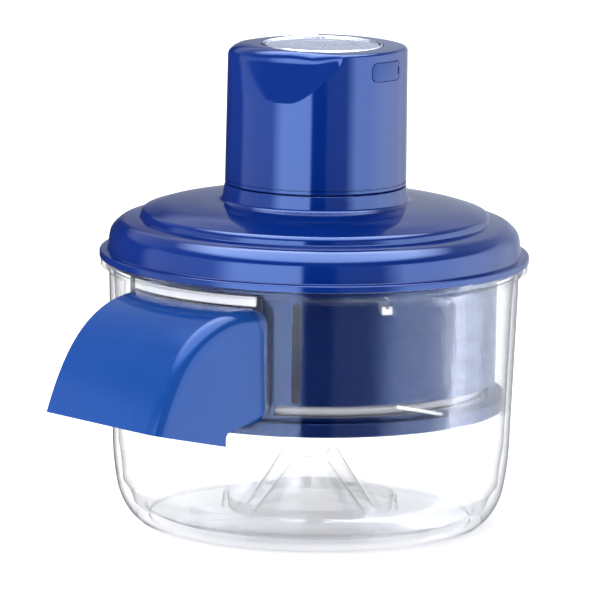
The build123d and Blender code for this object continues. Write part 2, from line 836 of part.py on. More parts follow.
# ---- charging port cover ----
with BuildPart() as usb_cover:
    with BuildSketch(flap_plane.offset(2)) as cover_face:
        RectangleRounded(flap_width, flap_height, 2.0)
    extrude(cover_face.sketch, amount=-6)
    post(cover_inner_radius, port_height - flap_height, port_height + flap_height, mode=Mode.SUBTRACT)
    turn(
        (cover_outer_radius, port_height - flap_height),
        (cover_outer_radius + 8, port_height - flap_height),
        (cover_outer_radius + 8, port_height + flap_height),
        (cover_outer_radius, port_height + flap_height),
        mode=Mode.SUBTRACT,
    )
    with BuildSketch(flap_plane.offset(-1.1)) as cover_plug:
        Rectangle(7.6, 2.1)
    extrude(cover_plug.sketch, amount=-1.6)
    with BuildSketch(flap_plane) as nail_slot:
        with Locations((flap_width / 2 - 1.2, 0)):
            Rectangle(0.9, 3.2)
    extrude(nail_slot.sketch, amount=-1.2, mode=Mode.SUBTRACT)
save(usb_cover, "usb_cover")

# ---- button and its ring ----
button_radius = 21.3


def turn_at(place, *points):
    """Revolves an outline about an upright axis through place."""
    upright = Plane(origin=(place[0], place[1], 0), x_dir=(1, 0, 0), z_dir=(0, -1, 0))
    with BuildSketch(upright) as outline:
        with BuildLine():
            Polyline(*points, close=True)
        make_face()
    revolve(outline.sketch, axis=Axis((place[0], place[1], 0), (0, 0, 1)))


with BuildPart() as button_trim_ring:
    turn_at(
        button_shift,
        (21.8, 180.8),
        (24.8, 180.8),
        (24.8, 181.9),
        (23.7, 181.9),
        (23.7, 184.5),
        (23.3, 184.9),
        (22.2, 184.9),
        (21.8, 184.5),
    )
save(button_trim_ring, "button_trim_ring")

with BuildPart() as power_button:
    turn_at(
        button_shift,
        (0, 182.6),
        (19.2, 182.2),
        (19.2, 179.8),
        (23.0, 179.8),
        (23.0, 180.6),
        (button_radius, 180.6),
        (button_radius, 184.0),
        (20.9, 184.3),
        (14.0, 184.6),
        (0, 184.7),
    )
    post(2.6, board_top + 5.8, 183.0, button_shift)
save(power_button, "power_button")

spring_bottom = board_top + 0.5
with BuildPart() as button_spring:
    with BuildLine() as coil:
        Helix(pitch=2.3, height=9.2, radius=7.0, center=(*button_shift, spring_bottom + 0.5))
    with BuildSketch(Plane(origin=coil.line @ 0, z_dir=coil.line % 0)) as wire:
        Circle(0.4)
    sweep(is_frenet=True)
save(button_spring, "button_spring")
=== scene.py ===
import bmesh
import bpy
import json
import math
from mathutils import Matrix, Vector


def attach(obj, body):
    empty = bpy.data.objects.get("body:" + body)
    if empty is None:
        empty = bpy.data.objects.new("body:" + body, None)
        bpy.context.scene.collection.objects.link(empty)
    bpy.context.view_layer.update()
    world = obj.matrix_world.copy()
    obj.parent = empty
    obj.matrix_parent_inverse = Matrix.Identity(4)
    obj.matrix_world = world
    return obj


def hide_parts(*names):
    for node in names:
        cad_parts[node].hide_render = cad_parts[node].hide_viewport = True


# Rechargeable garlic peeler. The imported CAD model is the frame: +Z up along the turning axis, chute along
# -X. Outlines are in millimetres, (radius, height) or (x, z), and become metres when a mesh is made.

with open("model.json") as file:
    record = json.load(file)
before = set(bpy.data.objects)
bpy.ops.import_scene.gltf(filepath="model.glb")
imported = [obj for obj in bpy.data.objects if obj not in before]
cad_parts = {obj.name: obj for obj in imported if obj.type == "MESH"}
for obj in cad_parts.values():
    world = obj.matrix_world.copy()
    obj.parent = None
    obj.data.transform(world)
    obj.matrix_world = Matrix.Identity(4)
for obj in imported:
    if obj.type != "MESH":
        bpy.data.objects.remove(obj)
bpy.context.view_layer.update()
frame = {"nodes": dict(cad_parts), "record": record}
nodes = frame["nodes"]

MM = 0.001
VIEW_AZIMUTH = -43.4
VIEW_ELEVATION = 9.77
VIEW_ROLL = 1.01
VIEW_DISTANCE = 2.27
LENS = 354.2
AIM = (-3.76, 3.55, 84.87)

# moves a prism drawn in (y, z) so that it runs along X
ALONG_X = Matrix(((0, 0, 1, 0), (1, 0, 0, 0), (0, 1, 0, 0), (0, 0, 0, 1)))

# noise scales, per metre: slow clouding and a fine moulded grain
CLOUD_SCALE = 60.0
GRAIN_SCALE = 900.0

# sizes shared by several pieces, in millimetres
WALL = 2.2
BOWL_RADIUS = 78.4
CHUTE_LEFT = 19.4
CHUTE_RIGHT = -42.4
CHUTE_TOP = 93.9
CHUTE_BOTTOM = 49.7
HOOD_TIP = -119.2
HOOD_BACK = -83.7
DRUM_RADIUS = 70.5
HEAD_BOTTOM = 130.9
HEAD_TOP = 184.2
BUTTON_SHIFT = (1.16, -1.1)
PORT_ANGLE = -82.4
PORT_HEIGHT = 176.8
FRONT_ANGLE = -133.4


# ---------------------------------------------------------------- mesh helpers
def polar(radius, angle, height=0.0):
    turn = math.radians(angle)
    return Vector((radius * math.cos(turn), radius * math.sin(turn), height))


def smoothstep(x):
    x = min(1.0, max(0.0, x))
    return x * x * (3 - 2 * x)


def soften(points, steps=5):
    """Rounds the corners of a closed outline. A point is (x, y) or (x, y, radius)."""
    out = []
    count = len(points)
    for i, point in enumerate(points):
        here = Vector(point[:2])
        radius = point[2] if len(point) > 2 else 0.0
        if radius <= 0:
            out.append(tuple(here))
            continue
        before = Vector(points[i - 1][:2]) - here
        after = Vector(points[(i + 1) % count][:2]) - here
        turn = before.angle(after)
        reach = min(radius / math.tan(turn / 2), before.length * 0.49, after.length * 0.49)
        radius = reach * math.tan(turn / 2)
        inwards = (before.normalized() + after.normalized()).normalized()
        centre = here + inwards * (radius / math.sin(turn / 2))
        start = here + before.normalized() * reach - centre
        sweep = start.angle_signed(here + after.normalized() * reach - centre)
        for step in range(steps + 1):
            angle = -sweep * step / steps
            c, s = math.cos(angle), math.sin(angle)
            out.append((centre.x + start.x * c - start.y * s, centre.y + start.x * s + start.y * c))
    return out


def bow(start, end, sag, steps=10):
    """Points after start, up to end, on an arc that stands sag to the left of the straight line."""
    start, end = Vector(start), Vector(end)
    chord = end - start
    normal = Vector((-chord.y, chord.x)).normalized()
    points = []
    for step in range(1, steps + 1):
        t = step / steps
        points.append(tuple(start + chord * t + normal * sag * 4 * t * (1 - t)))
    return points


def new_object(name, mesh_data, sharp=30):
    obj = bpy.data.objects.new(name, mesh_data)
    bpy.context.scene.collection.objects.link(obj)
    smooth(obj, sharp)
    return obj


def smooth(obj, sharp=30):
    obj.data.polygons.foreach_set("use_smooth", [True] * len(obj.data.polygons))
    obj.data.set_sharp_from_angle(angle=math.radians(sharp))


def from_bmesh(name, bm, sharp=30):
    bmesh.ops.remove_doubles(bm, verts=bm.verts, dist=2e-6)
    bmesh.ops.recalc_face_normals(bm, faces=bm.faces)
    mesh_data = bpy.data.meshes.new(name)
    bm.to_mesh(mesh_data)
    bm.free()
    return new_object(name, mesh_data, sharp)


def grid_mesh(name, rings, sharp=30, closed_rows=True):
    """A mesh from closed rings of points. The last ring joins the first if closed_rows."""
    bm = bmesh.new()
    verts = [[bm.verts.new(Vector(p) * MM) for p in ring] for ring in rings]
    count = len(rings)
    width = len(rings[0])
    for i in range(count if closed_rows else count - 1):
        a, b = verts[i], verts[(i + 1) % count]
        for j in range(width):
            k = (j + 1) % width
            corners = []
            for v in (a[j], a[k], b[k], b[j]):
                if all((v.co - w.co).length > 1e-9 for w in corners):
                    corners.append(v)
            if len(corners) > 2:
                bm.faces.new(corners)
    return from_bmesh(name, bm, sharp)


def lathe(name, outline, segments=240, sharp=30, centre=(0, 0)):
    """Revolves a closed (radius, height) outline about an upright axis through centre."""
    x, y = centre
    rings = []
    for radius, height in outline:
        ring = []
        for i in range(segments):
            angle = 2 * math.pi * i / segments
            ring.append((x + radius * math.cos(angle), y + radius * math.sin(angle), height))
        rings.append(ring)
    return grid_mesh(name, rings, sharp)


def prism(name, outline, low, high, place=None, sharp=30):
    """Extrudes a closed outline from low to high along local z, then moves it by the matrix place."""
    bm = bmesh.new()
    place = place or Matrix.Identity(4)
    bottom = [bm.verts.new((place @ Vector((x, y, low))) * MM) for x, y in outline]
    top = [bm.verts.new((place @ Vector((x, y, high))) * MM) for x, y in outline]
    bm.faces.new(bottom)
    bm.faces.new(top)
    for i in range(len(outline)):
        k = (i + 1) % len(outline)
        bm.faces.new((bottom[i], bottom[k], top[k], top[i]))
    return from_bmesh(name, bm, sharp)


def box_outline(width, height, radius=0.0, at=(0, 0), steps=6):
    x, y = at
    w, h = width / 2, height / 2
    corners = ((x - w, y - h), (x + w, y - h), (x + w, y + h), (x - w, y + h))
    return soften([(*c, radius) for c in corners], steps) if radius else list(corners)


def radial_frame(radius, angle, height):
    """Local x runs round the wall, y up, z outwards, at a point on a round wall."""
    across, out = polar(1, angle + 90), polar(1, angle)
    at = polar(radius, angle, height)
    columns = (across, Vector((0, 0, 1)), out, at)
    rows = [[c[i] for c in columns] for i in range(3)]
    return Matrix((*rows, (0, 0, 0, 1)))


def baked(obj):
    """Applies the object's modifiers to its mesh."""
    view = bpy.context.evaluated_depsgraph_get()
    view.update()
    made = bpy.data.meshes.new_from_object(obj.evaluated_get(view))
    old = obj.data
    obj.modifiers.clear()
    obj.data = made
    bpy.data.meshes.remove(old)
    return obj


def combine(obj, tools, operation="DIFFERENCE", sharp=30):
    for tool in tools:
        modifier = obj.modifiers.new("combine", "BOOLEAN")
        modifier.operation = operation
        modifier.solver = "EXACT"
        modifier.object = tool
        bpy.context.view_layer.update()
        baked(obj)
        bpy.data.objects.remove(tool)
    smooth(obj, sharp)
    return obj


def bevelled(obj, width, segments=3, angle=35, sharp=30):
    modifier = obj.modifiers.new("bevel", "BEVEL")
    modifier.width = width * MM
    modifier.segments = segments
    modifier.limit_method = "ANGLE"
    modifier.angle_limit = math.radians(angle)
    modifier.harden_normals = False
    baked(obj)
    smooth(obj, sharp)
    return obj


# ---------------------------------------------------------------- materials
def material(name, base, roughness, metallic=0.0, transmission=0.0, ior=1.49, coat=0.0, sheen=None, gloss=0.5):
    """A Principled material with constants on the shader's own sockets."""
    made = bpy.data.materials.new(name)
    made.use_nodes = True
    shader = made.node_tree.nodes["Principled BSDF"]
    shader.inputs["Base Color"].default_value = (*base, 1.0)
    shader.inputs["Roughness"].default_value = roughness
    shader.inputs["Metallic"].default_value = metallic
    shader.inputs["Transmission Weight"].default_value = transmission
    shader.inputs["IOR"].default_value = ior
    shader.inputs["Coat Weight"].default_value = coat
    shader.inputs["Coat Roughness"].default_value = 0.03
    shader.inputs["Specular IOR Level"].default_value = gloss
    if sheen:
        shader.inputs["Specular Tint"].default_value = (*sheen, 1.0)
    return made


def noise(tree, scale, detail):
    """A noise texture in the object's own coordinates, in metres."""
    where = tree.nodes.new("ShaderNodeTexCoord")
    texture = tree.nodes.new("ShaderNodeTexNoise")
    texture.inputs["Scale"].default_value = scale
    texture.inputs["Detail"].default_value = detail
    tree.links.new(where.outputs["Object"], texture.inputs["Vector"])
    return texture


def ramp(tree, source, low, high, start=0.3, end=0.7):
    """Spreads a texture's value between two colours or two grey levels."""
    made = tree.nodes.new("ShaderNodeValToRGB")
    made.color_ramp.elements[0].position = start
    made.color_ramp.elements[1].position = end
    for element, value in zip(made.color_ramp.elements, (low, high)):
        colour = (value,) * 3 if isinstance(value, float) else value
        element.color = (*colour, 1.0)
    tree.links.new(source, made.inputs["Fac"])
    return made.outputs["Color"]


def ramp_node(tree, stops, source):
    """A colour ramp of grey levels at the given positions, driven by source."""
    made = tree.nodes.new("ShaderNodeValToRGB")
    elements = made.color_ramp.elements
    while len(elements) < len(stops):
        elements.new(0.5)
    for element, (position, level) in zip(elements, stops):
        element.position = position
        element.color = (level, level, level, 1)
    tree.links.new(source, made.inputs["Fac"])
    return made.outputs["Color"]


def math_node(tree, operation, *values):
    made = tree.nodes.new("ShaderNodeMath")
    made.operation = operation
    for slot, value in enumerate(values):
        if isinstance(value, (int, float)):
            made.inputs[slot].default_value = value
        else:
            tree.links.new(value, made.inputs[slot])
    return made.outputs["Value"]


def moulded(name, base, roughness, spread=0.05, rough_spread=0.02, bump=0.0, **settings):
    """A material with soft variation of colour and roughness and, if bump, a fine grain."""
    made = material(name, base, roughness, **settings)
    tree = made.node_tree
    shader = tree.nodes["Principled BSDF"]
    texture = noise(tree, CLOUD_SCALE, 4.0)
    low = tuple(c * (1 - spread) for c in base)
    high = tuple(min(1.0, c * (1 + spread)) for c in base)
    tree.links.new(ramp(tree, texture.outputs["Fac"], low, high), shader.inputs["Base Color"])
    tree.links.new(
        ramp(tree, texture.outputs["Fac"], roughness - rough_spread, roughness + rough_spread),
        shader.inputs["Roughness"],
    )
    if bump:
        grain = noise(tree, GRAIN_SCALE, 2.0)
        lift = tree.nodes.new("ShaderNodeBump")
        lift.inputs["Strength"].default_value = bump
        lift.inputs["Distance"].default_value = 0.0001
        tree.links.new(grain.outputs["Fac"], lift.inputs["Height"])
        tree.links.new(lift.outputs["Normal"], shader.inputs["Normal"])
    return made


def clear(name):
    """Clear plastic: nearly invisible where it faces the eye, greyer and more solid where it is edge on. The
    grey is painted shade that stands in for the dark refraction lines at the edges. Level faces count as less
    edge on, so that the bowl's floor stays light."""
    made = moulded(name, (0.965, 0.97, 0.975), 0.006, 0.003, 0.003, transmission=1.0, ior=1.35, gloss=0.05)
    tree = made.node_tree
    shader = tree.nodes["Principled BSDF"]
    weight = tree.nodes.new("ShaderNodeLayerWeight")
    weight.inputs["Blend"].default_value = 0.5
    split = tree.nodes.new("ShaderNodeSeparateXYZ")
    tree.links.new(tree.nodes.new("ShaderNodeTexCoord").outputs["Normal"], split.inputs["Vector"])
    levelness = math_node(tree, "ABSOLUTE", split.outputs["Z"])
    relief = ramp_node(tree, [(0.8, 0.0), (0.97, 0.16)], levelness)
    edge = math_node(tree, "SUBTRACT", weight.outputs["Facing"], relief)
    solid = ramp_node(tree, [(0.0, 0.14), (0.58, 0.16), (0.74, 0.3), (0.86, 0.7), (0.94, 0.95)], edge)
    # painted shade: the base colour goes grey towards the edges, in place of refraction lines
    grey = ramp_node(tree, [(0.0, 0.98), (0.58, 0.95), (0.74, 0.74), (0.86, 0.32), (0.94, 0.08)], edge)
    through = ramp_node(tree, [(0.0, 1.0), (0.62, 1.0), (0.82, 0.3), (0.9, 0.0)], edge)
    tree.links.new(solid, shader.inputs["Alpha"])
    tree.links.new(grey, shader.inputs["Base Color"])
    tree.links.new(through, shader.inputs["Transmission Weight"])
    return made


BLUE = (0.001, 0.016, 0.142)
# HOOD_LIT_BLUE is BLUE made lighter: painted light for the extra light that the chute hood catches
HOOD_LIT_BLUE = (0.006, 0.045, 0.22)
# DRUM_SHADE_BLUE is BLUE made darker: painted shade for the drum and tray, which sit in shade behind the clear
# wall
DRUM_SHADE_BLUE = (0.0006, 0.006, 0.055)
SHEEN = (0.42, 0.60, 1.0)
looks = {
    "blue_plastic": moulded("blue_plastic", BLUE, 0.09, 0.04, 0.015, 0.02, sheen=SHEEN),
    # a lighter copy of the blue plastic: painted light on the chute hood
    "hood_plastic": moulded("hood_plastic", HOOD_LIT_BLUE, 0.14, 0.04, 0.015, 0.03, sheen=SHEEN, gloss=0.25),
    # a darker copy of the blue plastic: painted shade on the drum and tray
    "drum_shaded_plastic": moulded("drum_shaded_plastic", DRUM_SHADE_BLUE, 0.1, 0.04, 0.015, 0.02, sheen=SHEEN, gloss=0.4),
    "clear_plastic": clear("clear_plastic"),
    "white_plastic": moulded("white_plastic", (0.88, 0.88, 0.87), 0.2),
    "pale_plastic": moulded("pale_plastic", (0.84, 0.84, 0.9), 0.35, bump=0.05),
    "silver_plastic": moulded("silver_plastic", (0.36, 0.39, 0.50), 0.25, metallic=0.3, coat=0.2),
    "silicone": moulded("silicone", (0.74, 0.75, 0.78), 0.5, bump=0.08),
    "blue_rubber": moulded("blue_rubber", (0.003, 0.022, 0.15), 0.25, bump=0.1, sheen=SHEEN, gloss=0.35),
    "black_plastic": moulded("black_plastic", (0.012, 0.012, 0.014), 0.4, bump=0.08),
    "steel": moulded("steel", (0.56, 0.56, 0.57), 0.28, metallic=1.0, bump=0.05),
    "screw_steel": moulded("screw_steel", (0.62, 0.62, 0.60), 0.25, metallic=1.0),
    "bright_trim": moulded("bright_trim", (0.86, 0.87, 0.89), 0.07, metallic=1.0),
    "bronze": moulded("bronze", (0.60, 0.40, 0.17), 0.35, metallic=1.0),
    "magnet": moulded("magnet", (0.02, 0.02, 0.022), 0.5, bump=0.1),
    "cell_wrap": moulded("cell_wrap", (0.01, 0.18, 0.09), 0.25, coat=0.3),
    "circuit_board": moulded("circuit_board", (0.008, 0.09, 0.025), 0.3, 0.2, coat=0.2),
}


def dress(obj, slot):
    obj.data.materials.clear()
    obj.data.materials.append(looks[slot])
    return obj


def stand_for(obj, body, slot, *replaced, look=None):
    """A finished piece: its finish, the body it rides on and the CAD nodes it stands for."""
    dress(obj, look or slot)
    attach(obj, body)
    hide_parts(*replaced)
    return obj


# ---------------------------------------------------------------- clear bowl
def make_bowl():
    outside = [(62.0, 0.0, 0.3), (66.2, 0.0, 0.5), (66.7, 0.7)]
    outside += bow((66.7, 0.7), (70.9, 4.9), -0.35, 4)
    outside += bow((70.9, 4.9), (74.7, 14.4), -0.55, 6)
    outside += bow((74.7, 14.4), (76.5, 30.0), -0.28, 6)
    lip = [
        (BOWL_RADIUS, 85.0),
        (78.7, 96.2, 1.0),
        (80.2, 98.0, 1.0),
        (82.0, 98.5, 0.5),
        (82.0, 101.3, 0.4),
        (79.8, 101.3, 0.3),
        (79.8, 99.1, 0.6),
        (77.6, 97.4, 1.0),
        (76.8, 94.0, 2.0),
    ]
    inside = [(BOWL_RADIUS - WALL, 85.0), (74.3, 30.0)]
    inside += bow((74.3, 30.0), (72.4, 14.8), -0.25, 6)
    inside += bow((72.4, 14.8), (68.2, 6.8), -0.55, 6)
    inside += bow((68.2, 6.8), (62.0, 4.0), -0.5, 5)
    centre = [
        (34.0, 4.0, 0.6),
        (33.6, 9.0, 0.5),
        (32.0, 9.0, 0.5),
        (31.6, 4.0, 0.6),
        (24.8, 4.0, 0.8),
        (10.4, 27.0, 0.9),
        (8.6, 27.6, 0.5),
        (7.4, 27.4, 0.5),
        (6.8, 25.0, 0.5),
        (0.0, 25.0),
        (0.0, 22.8),
        (6.4, 22.8, 1.5),
        (21.6, 1.8, 0.8),
        (62.0, 1.8, 0.4),
    ]
    bowl = lathe("clear_bowl_body", soften(outside + lip + inside + centre), 288, 40)
    panel = prism(
        "panel",
        box_outline(70.0, 11.6, 4.5, (-10.5, 93.0)),
        -86.0,
        -40.0,
        ALONG_X,
    )
    proud = BOWL_RADIUS + 1.4
    band = lathe("band", [(77.2, 80), (proud, 80), (proud, 97.8), (77.2, 97.8)], 288)
    combine(panel, [band], "INTERSECT")
    combine(bowl, [bevelled(panel, 0.4)], "UNION")
    low, high = CHUTE_BOTTOM - 0.3, CHUTE_TOP + 0.3
    left, right = CHUTE_LEFT + 0.3, CHUTE_RIGHT - 0.3
    window = prism(
        "window",
        soften([(right, low, 6.8), (left, low, 6.8), (left, high, 1.8), (right, high, 6.2)], 8),
        -95.0,
        -40.0,
        ALONG_X,
    )
    combine(bowl, [window], sharp=40)
    return stand_for(bowl, "bowl", "clear_plastic", "clear_bowl")


# ---------------------------------------------------------------- chute hood
def hood_solid(name, inset):
    """The hood as a solid: its side outline across its width, with rounded long edges."""
    top = CHUTE_TOP - inset
    bottom = CHUTE_BOTTOM + inset
    front = [(-55.0, top)]
    control = [
        (-72.0, top),
        (-103.0 + inset * 0.8, 94.6 - inset * 1.2),
        (-113.3 + inset, 68.0),
        (HOOD_TIP + inset, 52.5),
    ]
    steps = 24
    for i in range(steps + 1):
        t = i / steps
        u = 1 - t
        weights = (u ** 3, 3 * u * u * t, 3 * u * t * t, t ** 3)
        front.append(tuple(sum(w * p[k] for w, p in zip(weights, control)) for k in (0, 1)))
    mouth = [(HOOD_BACK, 44.2), (HOOD_BACK, bottom, 5.0)]
    if inset:
        mouth = [(HOOD_TIP + inset, 38.0), (HOOD_BACK - inset, 38.0), (HOOD_BACK - inset, bottom, 5.0 + inset)]
    outline = soften(front + mouth + [(-55.0, bottom)], 8)
    bm = bmesh.new()
    sides = []
    for y in (CHUTE_LEFT - inset, CHUTE_RIGHT + inset):
        sides.append([bm.verts.new(Vector((x, y, z)) * MM) for x, z in outline])
    bm.faces.new(sides[0])
    bm.faces.new(sides[1])
    top_edges = ([], [])
    under_edges = []
    for i in range(len(outline)):
        k = (i + 1) % len(outline)
        bm.faces.new((sides[0][i], sides[0][k], sides[1][k], sides[1][i]))
        for side in (0, 1):
            edge = bm.edges.get((sides[side][i], sides[side][k]))
            if i <= steps:
                top_edges[side].append(edge)
            elif abs(outline[i][1] - bottom) < 1e-6 and abs(outline[k][1] - bottom) < 1e-6:
                under_edges.append(edge)
    bmesh.ops.recalc_face_normals(bm, faces=bm.faces)
    left_radius = max(0.3, 1.6 - inset)
    groups = ((top_edges[0], left_radius), (top_edges[1], 6.0 - inset), (under_edges, 7.0 - inset))
    for edges, radius in groups:
        edges = [e for e in edges if e.is_valid]
        bmesh.ops.bevel(bm, geom=edges, offset=radius * MM, segments=10, profile=0.5, affect="EDGES")
    return from_bmesh(name, bm, 35)


def make_hood():
    hood = hood_solid("chute_hood_body", 0.0)
    space = hood_solid("space", WALL)
    inner_end = lathe("inner_end", [(0, 20), (76.6, 20), (76.6, 120), (0, 120)], 288)
    combine(hood, [space, inner_end], sharp=35)
    # the hood wears the lighter copy of the blue plastic, which is painted light
    return stand_for(hood, "chute", "hood_plastic", "chute_hood")


# ---------------------------------------------------------------- peeling drum
def ring_sector(name, inner, outer, bottom, top, start, end, steps=48):
    """A curved block between two angles."""
    outline = [tuple(polar(outer, start + (end - start) * i / steps)[:2]) for i in range(steps + 1)]
    outline += [tuple(polar(inner, end - (end - start) * i / steps)[:2]) for i in range(steps + 1)]
    return prism(name, outline, bottom, top)


def make_drum():
    outline = [
        (68.3, 50.2, 0.3),
        (DRUM_RADIUS, 50.2, 0.3),
        (DRUM_RADIUS, 99.0, 0.6),
        (79.2, 99.5, 0.4),
        (79.4, 100.9, 0.4),
        (68.3, 100.9, 0.5),
    ]
    drum = lathe("peel_drum_body", soften(outline), 288, 35)
    opening = prism("opening", box_outline(40.0, 50.5, 2.0, (-60.0, -10.25)), 51.2, 99.4)
    tools = [opening]
    for start, end in ((-145.0, -60.4), (-40.0, 50.0), (70.0, 150.0)):
        tools.append(ring_sector("slot", 66.0, 73.0, 52.5, 56.4, start, end))
    slit_place = radial_frame(DRUM_RADIUS, -138.4, 76.2)
    tools.append(prism("slit", box_outline(3.4, 38.0, 1.6), -5.0, 4.0, slit_place))
    seat_place = radial_frame(DRUM_RADIUS, -110.6, 92.6)
    tools.append(prism("seat", box_outline(4.3, 3.2), -5.0, 4.0, seat_place))
    combine(drum, tools, sharp=35)
    # the drum is blue plastic, darkened with painted shade
    return stand_for(drum, "drum", "blue_plastic", "peel_drum", look="drum_shaded_plastic")


def make_tray():
    outline = [
        (3.05, 48.0),
        (71.9, 48.0),
        (71.9, 45.4, 0.2),
        (74.1, 45.4, 0.4),
        (74.1, 50.7, 0.5),
        (71.9, 50.7, 0.3),
        (71.4, 50.2),
        (7.5, 50.2),
        (6.5, 51.8, 0.3),
        (3.05, 51.8),
    ]
    tray = lathe("drum_tray_body", soften(outline), 240, 35)
    # the tray is blue plastic, darkened with painted shade
    return stand_for(tray, "drum", "blue_plastic", "drum_tray", look="drum_shaded_plastic")


# ---------------------------------------------------------------- lid
def make_lid():
    outline = [
        (24.5, 123.2),
        (24.5, 125.8),
        (30.2, 125.8),
        (30.2, 135.0),
        (32.5, 135.0, 0.4),
        (32.5, 130.4, 0.2),
        (34.8, 130.4, 0.35),
        (35.2, 128.4, 2.0),
        (35.7, 124.3, 1.9),
        (38.6, 124.1),
    ]
    outline += bow((38.6, 124.1), (54.0, 122.8), 0.22, 8) + bow((54.0, 122.8), (63.2, 120.7), 0.25, 8)
    outline += [
        (66.6, 119.7, 2.6),
        (67.15, 116.9, 0.3),
        (69.0, 116.7, 0.8),
        (74.4, 115.9, 5.0),
        (78.4, 112.4, 6.0),
        (79.5, 104.4, 0.3),
        (82.5, 104.2, 0.6),
        (82.5, 101.6, 0.4),
        (79.9, 101.6),
        (79.9, 102.4),
        (70.5, 102.4),
        (70.5, 104.4),
        (77.3, 104.4),
        (76.2, 111.0, 4.0),
        (72.6, 113.6, 2.0),
        (65.0, 115.0, 1.0),
        (64.4, 118.0, 1.0),
        (54.0, 120.8),
        (38.6, 122.1),
        (31.0, 123.2),
    ]
    lid = lathe("lid_shell_body", soften(outline, 8), 288, 40)
    bosses = []
    for i in range(4):
        tube = [(1.5, 104.4), (3.6, 104.4), (3.6, 121.4), (1.5, 121.4)]
        bosses.append(lathe("boss", tube, 48, centre=polar(55.0, 45 + 90 * i)[:2]))
    combine(lid, bosses, "UNION", 40)
    motor_room = lathe("room", [(0, 127), (12.5, 127), (12.5, 136), (0, 136)], 96, centre=(19.2, 0))
    gear_room = lathe("room", [(0, 120), (23.3, 120), (23.3, 130), (0, 130)], 96, centre=(4.8, 0))
    combine(lid, [motor_room, gear_room], sharp=40)
    return stand_for(lid, "lid", "blue_plastic", "lid_shell")


def scoop_profile(alpha):
    """For an angle from the head's front: the height where the scoop leaves the wall, how far in its face is
    at the top, where the rounded top edge starts, that edge's height, and how softly the face begins."""
    delta = alpha + 21.0
    edge_height = 1.4 + 2.8 * smoothstep((22 - alpha) / 27) * smoothstep((150 + alpha) / 60)
    edge_height = max(edge_height, 1.4 + 2.8 * smoothstep((abs(alpha) - 75) / 60))
    start = HEAD_TOP - edge_height
    low = 165.4 + 18.7 * smoothstep((alpha + 19) / 49)
    if delta >= 0:
        inner = 27.5 / math.cos(math.radians(min(delta, 60)))
    else:
        inner = 27.5 + 7.0 * smoothstep(-delta / 72)
    softness = 1.0 + 1.0 * smoothstep((-delta - 4) / 40)
    return min(low, start - 0.05), inner, start, edge_height, softness


def head_radius(height):
    return 34.8 - 0.5 * (height - HEAD_BOTTOM) / (HEAD_TOP - HEAD_BOTTOM)


def make_head():
    segments = 360
    columns = []
    for i in range(segments):
        angle = 360.0 * i / segments
        low, inner, start, edge_height, softness = scoop_profile((angle - FRONT_ANGLE + 180) % 360 - 180)
        wall_top = head_radius(start)
        inner = min(inner, wall_top)
        rows = [(34.3, HEAD_BOTTOM), (34.7, HEAD_BOTTOM + 0.05), (34.8, HEAD_BOTTOM + 0.25)]
        rows += [(34.8, 132.15), (34.45, 132.25), (34.45, 132.5), (34.78, 132.65)]
        steps = 12
        for k in range(1, steps + 1):
            z = 132.65 + (low - 132.65) * k / steps
            rows.append((head_radius(z), z))
        steps = 14
        for k in range(1, steps + 1):
            t = k / steps
            z = low + (start - low) * t
            rows.append((head_radius(z) - (wall_top - inner) * t ** softness, z))
        edge_width = min(edge_height + 5.3 * (softness - 1.0), inner - 24.6)
        steps = 8
        for k in range(1, steps + 1):
            t = math.pi / 2 * k / steps
            rows.append((inner - edge_width * (1 - math.cos(t)), start + edge_height * math.sin(t)))
        direction = polar(1, angle)
        shift = Vector((*BUTTON_SHIFT, 0))
        along = shift.dot(direction)
        reach = along + math.sqrt(max(0.0, 23.4 ** 2 - (shift.length_squared - along * along)))
        reach = min(reach, rows[-1][0] - 0.05)
        rows.append((reach + 0.15, HEAD_TOP))
        rows.append((reach, HEAD_TOP - 0.15))
        rows.append((reach, HEAD_TOP - WALL))
        rows.append((min(32.0, inner - WALL - 0.2), HEAD_TOP - WALL))
        for k in range(1, 7):
            t = 1 - k / 6
            z = low + (start - low) * t
            outside = head_radius(z) - (wall_top - inner) * t ** softness
            rows.append((min(32.4, outside - WALL - 0.1), z))
        rows.append((32.55, 140.0))
        rows.append((32.55, HEAD_BOTTOM))
        columns.append([(r * direction.x, r * direction.y, z) for r, z in rows])
    rings = [[column[k] for column in columns] for k in range(len(columns[0]))]
    head = grid_mesh("head_shell_body", rings, 22)
    # recess and opening for the charging port
    place = radial_frame(34.0, PORT_ANGLE, PORT_HEIGHT)
    recess = prism("recess", box_outline(17.1, 7.6, 2.6), -4.0, 4.0, place)
    core = lathe("core", [(0, 150), (33.25, 150), (33.25, 190), (0, 190)], 240)
    combine(recess, [core])
    opening = prism("opening", box_outline(9.8, 4.2, 1.6), -5.0, 4.0, place)
    combine(head, [recess, opening], sharp=22)
    return stand_for(head, "lid", "blue_plastic", "head_shell")


def make_button():
    ring = [(22.3, 180.8), (24.8, 180.8), (24.8, 181.9), (23.2, 181.9), (23.2, 184.5, 0.7), (22.3, 184.5, 0.2)]
    trim = lathe("button_trim_ring_body", soften(ring), 200, 35, BUTTON_SHIFT)
    stand_for(trim, "lid", "bright_trim", "button_trim_ring")
    cap = [(0.0, 182.6), (19.2, 182.2), (19.2, 179.8), (23.0, 179.8, 0.2), (23.0, 180.6, 0.2), (22.0, 180.6)]
    cap += [(22.0, 184.0, 0.5), (14.0, 184.3), (12.2, 184.2, 0.4), (11.6, 184.0, 0.4), (0.0, 184.0)]
    button = lathe("power_button_body", soften(cap), 200, 35, BUTTON_SHIFT)
    stem = lathe("stem", [(0, 176.4), (2.6, 176.4), (2.6, 183.0), (0, 183.0)], 48, centre=BUTTON_SHIFT)
    combine(button, [stem], "UNION", 35)
    stand_for(button, "button", "silver_plastic", "power_button")


